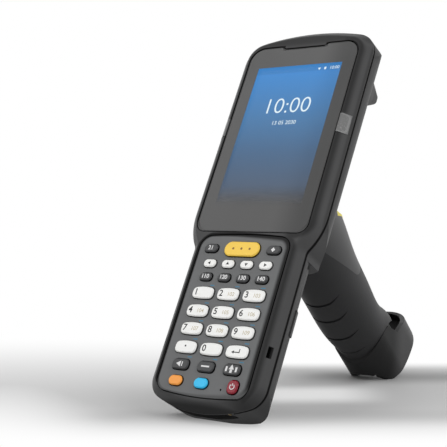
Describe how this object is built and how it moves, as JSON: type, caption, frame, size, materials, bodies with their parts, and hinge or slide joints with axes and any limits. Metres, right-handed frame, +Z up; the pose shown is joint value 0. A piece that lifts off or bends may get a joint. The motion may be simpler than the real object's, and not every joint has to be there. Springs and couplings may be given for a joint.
{
  "type": "portable barcode data terminal",
  "caption": "Handheld data terminal with colour display, sprung keypad, swing-out battery, rubber-sleeved pistol grip and trigger, standing on its lower end and grip heel.",
  "frame": {"origin": "centre of the footprint on the floor plane, below the resting terminal", "axes": "+Z up from the floor; -Y towards the side that the display faces; +X to the right for someone who reads the display"},
  "size_m": [0.0746, 0.1844, 0.1823],
  "materials": {
    "case_plastic": "fine texture",
    "bezel_plastic": "smooth matte",
    "battery_plastic": "fine texture",
    "latch_plastic": "ribbed",
    "grip_plastic": "fine texture",
    "connector_plastic": "smooth",
    "engine_body": "smooth",
    "key_white": "satin",
    "key_dark": "satin",
    "key_yellow": "satin",
    "key_orange": "satin",
    "key_blue": "satin",
    "key_red": "gloss",
    "trigger_yellow": "satin",
    "light_pipe": "translucent",
    "display": "lit",
    "window_glass": "clear",
    "scan_glass": "tinted",
    "seal_rubber": "matte",
    "mat_rubber": "matte",
    "grip_rubber": "soft matte",
    "board": "solder mask",
    "cell_sleeve": "shrink film",
    "chassis_metal": "cast",
    "contact_brass": "plated",
    "steel": "plain"
  },
  "bodies": {
    "terminal": {"front_housing": "case_plastic", "rear_housing": "case_plastic", "housing_gasket": "seal_rubber", "display_glass": "window_glass", "lcd_module": "display", "keypad_bezel": "bezel_plastic", "keypad_mat": "mat_rubber", "keypad_board": "board", "chassis_frame": "chassis_metal", "main_board": "board", "scan_engine": "engine_body", "exit_window": "scan_glass", "light_pipe_left": "light_pipe", "light_pipe_right": "light_pipe", "speaker": "engine_body", "dock_connector": "connector_plastic", "dock_contacts": "contact_brass", "battery_contacts": "contact_brass", "handle_shell_left": "grip_plastic", "handle_shell_right": "grip_plastic", "grip_sleeve": "grip_rubber", "handle_base": "grip_plastic", "trigger_spring": "steel", "trigger_switch": "connector_plastic", "trigger_pin": "steel", "screws": "steel"},
    "battery": {"battery_pack": "battery_plastic", "battery_cells": "cell_sleeve"},
    "latch_left": {"battery_latch_left": "latch_plastic"},
    "latch_right": {"battery_latch_right": "latch_plastic"},
    "trigger": {"trigger": "trigger_yellow"},
    "key_function": {"key_function": "key_dark"},
    "key_scan": {"key_scan": "key_yellow"},
    "key_star": {"key_star": "key_dark"},
    "key_left": {"key_left": "key_white"},
    "key_up": {"key_up": "key_white"},
    "key_down": {"key_down": "key_white"},
    "key_right": {"key_right": "key_white"},
    "key_escape": {"key_escape": "key_dark"},
    "key_tab": {"key_tab": "key_dark"},
    "key_alt": {"key_alt": "key_dark"},
    "key_control": {"key_control": "key_dark"},
    "key_1": {"key_1": "key_white"},
    "key_2": {"key_2": "key_white"},
    "key_3": {"key_3": "key_white"},
    "key_4": {"key_4": "key_white"},
    "key_5": {"key_5": "key_white"},
    "key_6": {"key_6": "key_white"},
    "key_7": {"key_7": "key_white"},
    "key_8": {"key_8": "key_white"},
    "key_9": {"key_9": "key_white"},
    "key_dot": {"key_dot": "key_white"},
    "key_0": {"key_0": "key_white"},
    "key_enter": {"key_enter": "key_white"},
    "key_back": {"key_back": "key_dark"},
    "key_space": {"key_space": "key_dark"},
    "key_shift": {"key_shift": "key_dark"},
    "key_orange": {"key_orange": "key_orange"},
    "key_blue": {"key_blue": "key_blue"},
    "key_power": {"key_power": "key_red"}
  },
  "joints": [
    {"name": "key_function_press", "type": "slide", "parent": "terminal", "child": "key_function", "axis": [0, 0.8781, -0.4785], "range_m": [0, 0.0008], "stiffness_N_per_m": 1500, "springref_m": -0.0003},
    {"name": "key_scan_press", "type": "slide", "parent": "terminal", "child": "key_scan", "axis": [0, 0.8781, -0.4785], "range_m": [0, 0.0008], "stiffness_N_per_m": 1500, "springref_m": -0.0003},
    {"name": "key_star_press", "type": "slide", "parent": "terminal", "child": "key_star", "axis": [0, 0.8781, -0.4785], "range_m": [0, 0.0008], "stiffness_N_per_m": 1500, "springref_m": -0.0003},
    {"name": "key_left_press", "type": "slide", "parent": "terminal", "child": "key_left", "axis": [0, 0.8781, -0.4785], "range_m": [0, 0.0008], "stiffness_N_per_m": 1500, "springref_m": -0.0003},
    {"name": "key_up_press", "type": "slide", "parent": "terminal", "child": "key_up", "axis": [0, 0.8781, -0.4785], "range_m": [0, 0.0008], "stiffness_N_per_m": 1500, "springref_m": -0.0003},
    {"name": "key_down_press", "type": "slide", "parent": "terminal", "child": "key_down", "axis": [0, 0.8781, -0.4785], "range_m": [0, 0.0008], "stiffness_N_per_m": 1500, "springref_m": -0.0003},
    {"name": "key_right_press", "type": "slide", "parent": "terminal", "child": "key_right", "axis": [0, 0.8781, -0.4785], "range_m": [0, 0.0008], "stiffness_N_per_m": 1500, "springref_m": -0.0003},
    {"name": "key_escape_press", "type": "slide", "parent": "terminal", "child": "key_escape", "axis": [0, 0.8781, -0.4785], "range_m": [0, 0.0008], "stiffness_N_per_m": 1500, "springref_m": -0.0003},
    {"name": "key_tab_press", "type": "slide", "parent": "terminal", "child": "key_tab", "axis": [0, 0.8781, -0.4785], "range_m": [0, 0.0008], "stiffness_N_per_m": 1500, "springref_m": -0.0003},
    {"name": "key_alt_press", "type": "slide", "parent": "terminal", "child": "key_alt", "axis": [0, 0.8781, -0.4785], "range_m": [0, 0.0008], "stiffness_N_per_m": 1500, "springref_m": -0.0003},
    {"name": "key_control_press", "type": "slide", "parent": "terminal", "child": "key_control", "axis": [0, 0.8781, -0.4785], "range_m": [0, 0.0008], "stiffness_N_per_m": 1500, "springref_m": -0.0003},
    {"name": "key_1_press", "type": "slide", "parent": "terminal", "child": "key_1", "axis": [0, 0.8781, -0.4785], "range_m": [0, 0.0008], "stiffness_N_per_m": 1500, "springref_m": -0.0003},
    {"name": "key_2_press", "type": "slide", "parent": "terminal", "child": "key_2", "axis": [0, 0.8781, -0.4785], "range_m": [0, 0.0008], "stiffness_N_per_m": 1500, "springref_m": -0.0003},
    {"name": "key_3_press", "type": "slide", "parent": "terminal", "child": "key_3", "axis": [0, 0.8781, -0.4785], "range_m": [0, 0.0008], "stiffness_N_per_m": 1500, "springref_m": -0.0003},
    {"name": "key_4_press", "type": "slide", "parent": "terminal", "child": "key_4", "axis": [0, 0.8781, -0.4785], "range_m": [0, 0.0008], "stiffness_N_per_m": 1500, "springref_m": -0.0003},
    {"name": "key_5_press", "type": "slide", "parent": "terminal", "child": "key_5", "axis": [0, 0.8781, -0.4785], "range_m": [0, 0.0008], "stiffness_N_per_m": 1500, "springref_m": -0.0003},
    {"name": "key_6_press", "type": "slide", "parent": "terminal", "child": "key_6", "axis": [0, 0.8781, -0.4785], "range_m": [0, 0.0008], "stiffness_N_per_m": 1500, "springref_m": -0.0003},
    {"name": "key_7_press", "type": "slide", "parent": "terminal", "child": "key_7", "axis": [0, 0.8781, -0.4785], "range_m": [0, 0.0008], "stiffness_N_per_m": 1500, "springref_m": -0.0003},
    {"name": "key_8_press", "type": "slide", "parent": "terminal", "child": "key_8", "axis": [0, 0.8781, -0.4785], "range_m": [0, 0.0008], "stiffness_N_per_m": 1500, "springref_m": -0.0003},
    {"name": "key_9_press", "type": "slide", "parent": "terminal", "child": "key_9", "axis": [0, 0.8781, -0.4785], "range_m": [0, 0.0008], "stiffness_N_per_m": 1500, "springref_m": -0.0003},
    {"name": "key_dot_press", "type": "slide", "parent": "terminal", "child": "key_dot", "axis": [0, 0.8781, -0.4785], "range_m": [0, 0.0008], "stiffness_N_per_m": 1500, "springref_m": -0.0003},
    {"name": "key_0_press", "type": "slide", "parent": "terminal", "child": "key_0", "axis": [0, 0.8781, -0.4785], "range_m": [0, 0.0008], "stiffness_N_per_m": 1500, "springref_m": -0.0003},
    {"name": "key_enter_press", "type": "slide", "parent": "terminal", "child": "key_enter", "axis": [0, 0.8781, -0.4785], "range_m": [0, 0.0008], "stiffness_N_per_m": 1500, "springref_m": -0.0003},
    {"name": "key_back_press", "type": "slide", "parent": "terminal", "child": "key_back", "axis": [0, 0.8781, -0.4785], "range_m": [0, 0.0008], "stiffness_N_per_m": 1500, "springref_m": -0.0003},
    {"name": "key_space_press", "type": "slide", "parent": "terminal", "child": "key_space", "axis": [0, 0.8781, -0.4785], "range_m": [0, 0.0008], "stiffness_N_per_m": 1500, "springref_m": -0.0003},
    {"name": "key_shift_press", "type": "slide", "parent": "terminal", "child": "key_shift", "axis": [0, 0.8781, -0.4785], "range_m": [0, 0.0008], "stiffness_N_per_m": 1500, "springref_m": -0.0003},
    {"name": "key_orange_press", "type": "slide", "parent": "terminal", "child": "key_orange", "axis": [0, 0.8781, -0.4785], "range_m": [0, 0.0008], "stiffness_N_per_m": 1500, "springref_m": -0.0003},
    {"name": "key_blue_press", "type": "slide", "parent": "terminal", "child": "key_blue", "axis": [0, 0.8781, -0.4785], "range_m": [0, 0.0008], "stiffness_N_per_m": 1500, "springref_m": -0.0003},
    {"name": "key_power_press", "type": "slide", "parent": "terminal", "child": "key_power", "axis": [0, 0.8781, -0.4785], "range_m": [0, 0.0008], "stiffness_N_per_m": 1500, "springref_m": -0.0003},
    {"name": "trigger_pull", "type": "hinge", "parent": "terminal", "child": "trigger", "pos_m": [0, -0.00098, 0.10118], "axis": [-1, 0, 0], "range_deg": [0, 8], "stiffness_Nm_per_rad": 0.6, "springref_deg": -2.86, "deforming": ["trigger_spring"]},
    {"name": "battery_swing", "type": "hinge", "parent": "terminal", "child": "battery", "pos_m": [0, -0.06945, 0.00808], "axis": [-1, 0, 0], "range_deg": [0, 35]},
    {"name": "latch_left_squeeze", "type": "slide", "parent": "battery", "child": "latch_left", "axis": [1, 0, 0], "range_m": [0, 0.0012], "stiffness_N_per_m": 1200, "springref_m": -0.0005},
    {"name": "latch_right_squeeze", "type": "slide", "parent": "battery", "child": "latch_right", "axis": [-1, 0, 0], "range_m": [0, 0.0012], "stiffness_N_per_m": 1200, "springref_m": -0.0005}
  ]
}
